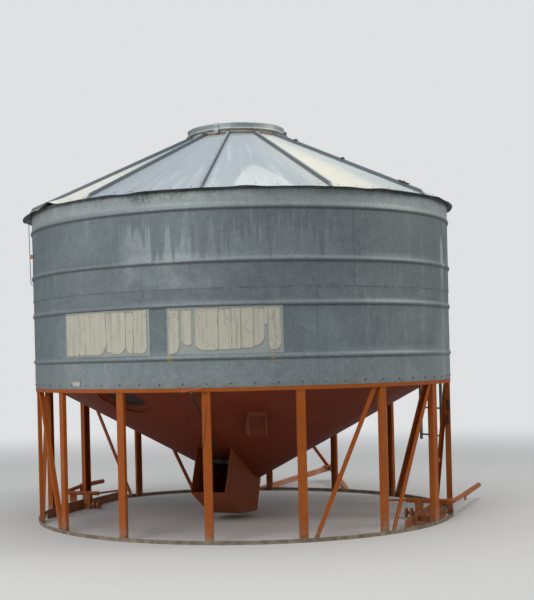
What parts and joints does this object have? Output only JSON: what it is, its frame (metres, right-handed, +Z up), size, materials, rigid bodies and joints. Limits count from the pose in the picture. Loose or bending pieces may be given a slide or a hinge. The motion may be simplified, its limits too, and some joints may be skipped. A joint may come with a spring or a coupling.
{
  "type": "cone bottom grain silo",
  "caption": "Small round grain silo of swaged galvanised sheet on channel legs, with a ribbed cone roof, lidded filling hole, cone hopper, slide gate and towing frame.",
  "frame": {"origin": "on the ground under the middle of the whole object's footprint, towing frame included", "axes": "+Z up; +Y from the bin's axis towards the towing hitch, so -Y is the discharge side; +X to the right when the discharge side is faced from outside"},
  "size_m": [4.3862, 5.6331, 3.996],
  "materials": {
    "wall_zinc": "weathered galvanised sheet, blue grey with streaks",
    "roof_zinc": "weathered galvanised sheet, light grey with rust runs",
    "pale_zinc": "dusty galvanised bar",
    "orange_paint": "worn orange brown paint with rust",
    "hopper_paint": "dull dark red brown paint",
    "faded_paint": "sun faded pinkish orange paint",
    "dark_steel": "dark oxidised steel"
  },
  "bodies": {
    "silo": {"base_ring": "pale_zinc", "leg_1": "orange_paint", "leg_2": "orange_paint", "leg_3": "orange_paint", "leg_4": "orange_paint", "leg_5": "orange_paint", "leg_6": "orange_paint", "leg_7": "orange_paint", "leg_8": "orange_paint", "leg_9": "orange_paint", "leg_10": "orange_paint", "leg_11": "orange_paint", "leg_12": "orange_paint", "leg_13": "orange_paint", "leg_14": "orange_paint", "leg_15": "orange_paint", "leg_16": "orange_paint", "brace_right_1": "orange_paint", "brace_right_2": "orange_paint", "brace_right_3": "orange_paint", "brace_right_4": "orange_paint", "brace_left_1": "orange_paint", "brace_left_2": "orange_paint", "brace_left_3": "orange_paint", "brace_left_4": "orange_paint", "ring_beam": "orange_paint", "hopper_cone": "hopper_paint", "discharge_boot": "hopper_paint", "bagging_chute": "hopper_paint", "bagging_chute_door": "hopper_paint", "manhole_rim": "hopper_paint", "manhole_cover": "dark_steel", "lower_wall_sheet_1": "wall_zinc", "lower_wall_sheet_2": "wall_zinc", "upper_wall_sheet_1": "wall_zinc", "upper_wall_sheet_2": "wall_zinc", "roof_sheet_1": "roof_zinc", "roof_sheet_2": "roof_zinc", "roof_sheet_3": "roof_zinc", "filling_collar": "roof_zinc", "lid_hinge": "pale_zinc", "ladder_stile_front": "wall_zinc", "ladder_stile_back": "wall_zinc", "ladder_rung_1": "wall_zinc", "ladder_rung_2": "wall_zinc", "ladder_rung_3": "wall_zinc", "ladder_rung_4": "wall_zinc", "ladder_rung_5": "wall_zinc", "ladder_rung_6": "wall_zinc", "ladder_rung_7": "wall_zinc", "ladder_rung_8": "wall_zinc", "towing_frame": "faded_paint", "towing_stay_right": "orange_paint", "towing_stay_left": "orange_paint", "side_tray_right": "orange_paint", "side_tray_left": "orange_paint", "swing_arm_right": "orange_paint", "swing_arm_left": "orange_paint"},
    "lid": {"filling_lid": "roof_zinc"},
    "gate": {"gate_slide": "dark_steel"}
  },
  "joints": [
    {"name": "lid_hinge_turn", "type": "hinge", "parent": "silo", "child": "lid", "pos_m": [0.48978, -0.45435, 3.955], "axis": [-0.3256, 0.9455, 0], "range_deg": [0, 110]},
    {"name": "gate_pull", "type": "slide", "parent": "silo", "child": "gate", "axis": [0, -0.8773, 0.4799], "range_m": [0, 0.25]}
  ]
}
